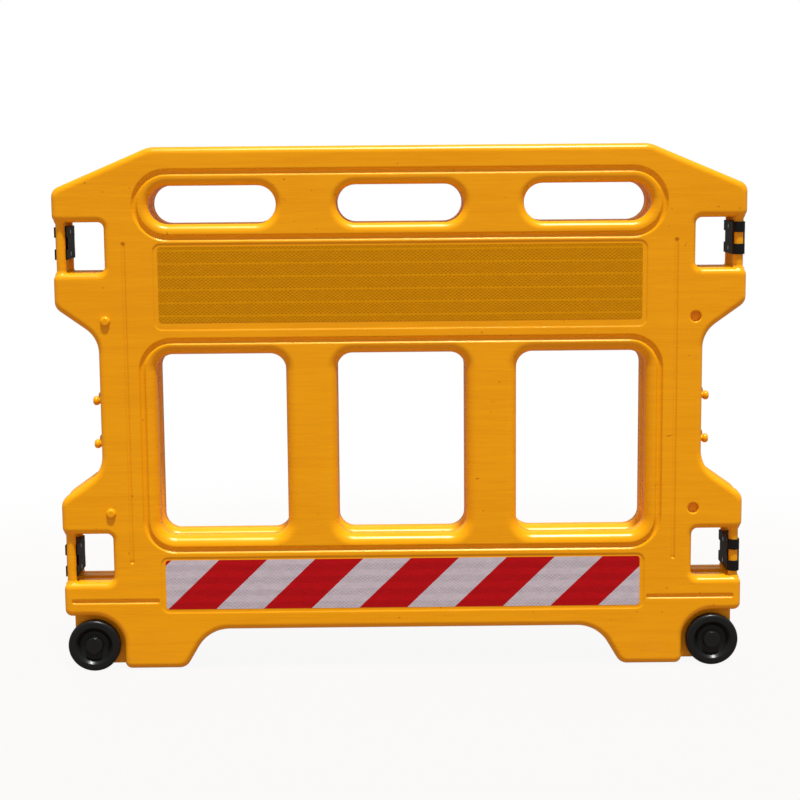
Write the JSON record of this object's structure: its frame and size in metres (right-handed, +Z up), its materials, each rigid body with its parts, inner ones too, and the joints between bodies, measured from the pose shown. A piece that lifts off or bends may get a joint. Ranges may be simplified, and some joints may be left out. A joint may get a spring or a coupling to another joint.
{
  "type": "folding barrier",
  "caption": "Folding road barrier of moulded panels with windows and hand holes, hinged by snap links on end posts, on wheels.",
  "frame": {"origin": "on the ground under the middle of the folded pair", "axes": "+X along the length, +Y from the front panel to the rear panel, +Z up"},
  "size_m": [1.3, 0.127, 1],
  "materials": {
    "panel_yellow": "satin",
    "black_plastic": "satin",
    "sign_film": "gloss",
    "stripe_film": "gloss",
    "steel": "satin"
  },
  "bodies": {
    "front_panel": {"front_panel_body": "panel_yellow", "front_sign_film": "sign_film", "front_stripe_film": "stripe_film", "front_left_axle_pin": "steel", "front_left_washer": "steel", "front_left_hub_cap": "black_plastic", "front_right_axle_pin": "steel", "front_right_washer": "steel", "front_right_hub_cap": "black_plastic"},
    "rear_panel": {"rear_panel_body": "panel_yellow", "rear_sign_film": "sign_film", "rear_stripe_film": "stripe_film", "rear_left_axle_pin": "steel", "rear_left_washer": "steel", "rear_left_hub_cap": "black_plastic", "rear_right_axle_pin": "steel", "rear_right_washer": "steel", "rear_right_hub_cap": "black_plastic"},
    "right_links": {"upper_right_link_inner": "black_plastic", "upper_right_link_outer": "black_plastic", "lower_right_link_inner": "black_plastic", "lower_right_link_outer": "black_plastic", "right_link_screws": "steel"},
    "left_links": {"upper_left_link_inner": "black_plastic", "upper_left_link_outer": "black_plastic", "lower_left_link_inner": "black_plastic", "lower_left_link_outer": "black_plastic", "left_link_screws": "steel"},
    "front_left_wheel": {"front_left_wheel": "black_plastic"},
    "front_right_wheel": {"front_right_wheel": "black_plastic"},
    "rear_left_wheel": {"rear_left_wheel": "black_plastic"},
    "rear_right_wheel": {"rear_right_wheel": "black_plastic"}
  },
  "joints": [
    {"name": "right_link_swing", "type": "hinge", "parent": "front_panel", "child": "right_links", "pos_m": [0.636, -0.042, 0.5], "axis": [0, 0, -1], "range_deg": [0, 180]},
    {"name": "rear_panel_swing", "type": "hinge", "parent": "right_links", "child": "rear_panel", "pos_m": [0.636, 0.042, 0.5], "axis": [0, 0, -1], "range_deg": [0, 180]},
    {"name": "left_link_swing", "type": "hinge", "parent": "rear_panel", "child": "left_links", "pos_m": [-0.636, 0.042, 0.5], "axis": [0, 0, -1], "range_deg": [0, 90]},
    {"name": "front_left_wheel_spin", "type": "hinge", "parent": "front_panel", "child": "front_left_wheel", "pos_m": [-0.596, -0.0475, 0.05], "axis": [0, 1, 0], "continuous": true},
    {"name": "front_right_wheel_spin", "type": "hinge", "parent": "front_panel", "child": "front_right_wheel", "pos_m": [0.596, -0.0475, 0.05], "axis": [0, 1, 0], "continuous": true},
    {"name": "rear_left_wheel_spin", "type": "hinge", "parent": "rear_panel", "child": "rear_left_wheel", "pos_m": [-0.596, 0.0475, 0.05], "axis": [0, 1, 0], "continuous": true},
    {"name": "rear_right_wheel_spin", "type": "hinge", "parent": "rear_panel", "child": "rear_right_wheel", "pos_m": [0.596, 0.0475, 0.05], "axis": [0, 1, 0], "continuous": true}
  ],
  "couplings": [
    {"joint": "left_link_swing", "follows": "rear_panel_swing", "ratio": 0.5}
  ]
}
